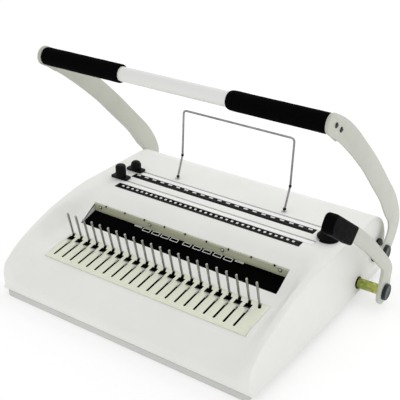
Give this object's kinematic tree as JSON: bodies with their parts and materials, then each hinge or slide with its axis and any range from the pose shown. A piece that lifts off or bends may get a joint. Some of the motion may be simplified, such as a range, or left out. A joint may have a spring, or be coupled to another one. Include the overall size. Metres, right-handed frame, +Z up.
{
  "type": "comb and wire binding machine",
  "caption": "Manual desktop punch-and-bind machine for plastic combs and wire loops, with a U-shaped punching handle, a comb-opening side lever and a wire closing channel.",
  "frame": {"origin": "underside of the centre foot, on the table plane, on the machine's middle plane", "axes": "+X to the operator's right along the rows of punches, +Y to the back, +Z up"},
  "size_m": [0.4605, 0.3688, 0.3153],
  "materials": {
    "cover_white": "satin moulded",
    "base_white": "satin powder coat",
    "foot_rubber": "matte",
    "zinc_steel": "bright zinc",
    "frame_steel": "rolled",
    "cream_plate": "satin powder coat",
    "pin_steel": "polished",
    "floor_black": "gloss black",
    "bar_olive": "satin",
    "lip_white": "gloss white",
    "strip_black": "satin",
    "button_white": "gloss",
    "trim_black": "gloss",
    "arm_paint": "satin powder coat",
    "grip_foam": "closed-cell foam",
    "lever_zinc": "yellow zinc passivate",
    "support_chrome": "bright",
    "punch_steel": "ground",
    "tray_plastic": "satin"
  },
  "bodies": {
    "chassis": {"base_tray": "base_white", "feet": "foot_rubber", "base_screws": "zinc_steel", "side_frame_left": "frame_steel", "side_frame_right": "frame_steel", "frame_beams": "frame_steel", "cover": "cover_white", "comb_plate": "cream_plate", "plate_rail": "frame_steel", "pin_bar": "frame_steel", "comb_pins": "pin_steel", "closing_floor": "floor_black", "closing_guide": "frame_steel", "wire_die": "lip_white", "comb_die": "lip_white", "front_strip": "strip_black", "rear_strip": "strip_black", "wire_buttons": "button_white", "comb_buttons": "button_white", "support_sockets": "zinc_steel", "handle_bush_left": "trim_black", "handle_bush_right": "trim_black", "lever_bush": "trim_black", "selector_plate": "trim_black"},
    "handle": {"handle_shaft": "zinc_steel", "handle_arm_left": "arm_paint", "handle_arm_right": "arm_paint", "handle_tube": "arm_paint", "grip_left": "grip_foam", "grip_right": "grip_foam", "tube_lugs": "arm_paint", "arm_screws": "zinc_steel", "pivot_cap_left": "trim_black", "pivot_cap_right": "trim_black", "drive_cams": "punch_steel"},
    "punches": {"punch_carriage": "frame_steel", "carriage_lugs": "frame_steel", "wire_punches": "punch_steel", "comb_punches": "punch_steel"},
    "closer": {"closing_bar": "bar_olive", "closing_rods": "punch_steel", "closing_screws": "zinc_steel"},
    "lever": {"lever_shaft": "lever_zinc", "lever_bar": "arm_paint", "lever_grip": "trim_black", "lever_cap": "trim_black", "lever_crank": "punch_steel"},
    "hooks": {"hook_carriage": "frame_steel", "comb_hooks": "pin_steel", "pull_rod": "frame_steel"},
    "front_stop": {"front_guide": "trim_black"},
    "front_stop_knob": {"front_knob": "trim_black"},
    "rear_stop": {"rear_guide": "trim_black"},
    "rear_stop_knob": {"rear_knob": "trim_black"},
    "selector": {"selector_knob": "trim_black"},
    "tray": {"chip_tray": "tray_plastic"},
    "support": {"paper_support": "support_chrome"}
  },
  "joints": [
    {"name": "handle_hinge", "type": "hinge", "parent": "chassis", "child": "handle", "pos_m": [0, 0.1573, 0.0453], "axis": [1, 0, 0], "range_deg": [0, 42], "stiffness_Nm_per_rad": 2.2, "springref_deg": -68.75},
    {"name": "punch_slide", "type": "slide", "parent": "chassis", "child": "punches", "axis": [0, -1, 0], "range_m": [0, 0.0081]},
    {"name": "closing_slide", "type": "slide", "parent": "chassis", "child": "closer", "axis": [0, -0.9636, -0.2672], "range_m": [0, 0.0142]},
    {"name": "lever_hinge", "type": "hinge", "parent": "chassis", "child": "lever", "pos_m": [0.236, 0.1025, 0.021], "axis": [1, 0, 0], "range_deg": [0, 38]},
    {"name": "hook_slide", "type": "slide", "parent": "chassis", "child": "hooks", "axis": [0, -0.9913, -0.1317], "range_m": [0, 0.0265]},
    {"name": "front_stop_slide", "type": "slide", "parent": "chassis", "child": "front_stop", "axis": [1, 0, 0], "range_m": [0, 0.006]},
    {"name": "front_knob_turn", "type": "hinge", "parent": "front_stop", "child": "front_stop_knob", "pos_m": [-0.16, 0.042, 0.115], "axis": [0, 0, 1], "continuous": true},
    {"name": "rear_stop_slide", "type": "slide", "parent": "chassis", "child": "rear_stop", "axis": [1, 0, 0], "range_m": [0, 0.006]},
    {"name": "rear_knob_turn", "type": "hinge", "parent": "rear_stop", "child": "rear_stop_knob", "pos_m": [-0.158, 0.075, 0.115], "axis": [0, 0, 1], "continuous": true},
    {"name": "selector_turn", "type": "hinge", "parent": "chassis", "child": "selector", "pos_m": [0.1723, 0.0555, 0.11], "axis": [0, 0, 1], "range_deg": [-90, 90]},
    {"name": "tray_slide", "type": "slide", "parent": "chassis", "child": "tray", "axis": [0, 1, 0], "range_m": [0, 0.16]},
    {"name": "support_lift", "type": "slide", "parent": "chassis", "child": "support", "axis": [0, 0.3791, 0.9253], "range_m": [0, 0.03]}
  ],
  "couplings": [
    {"joint": "punch_slide", "follows": "handle_hinge", "m_per_rad": 0.010913},
    {"joint": "closing_slide", "follows": "handle_hinge", "m_per_rad": 0.019099},
    {"joint": "hook_slide", "follows": "lever_hinge", "m_per_rad": 0.039616}
  ]
}
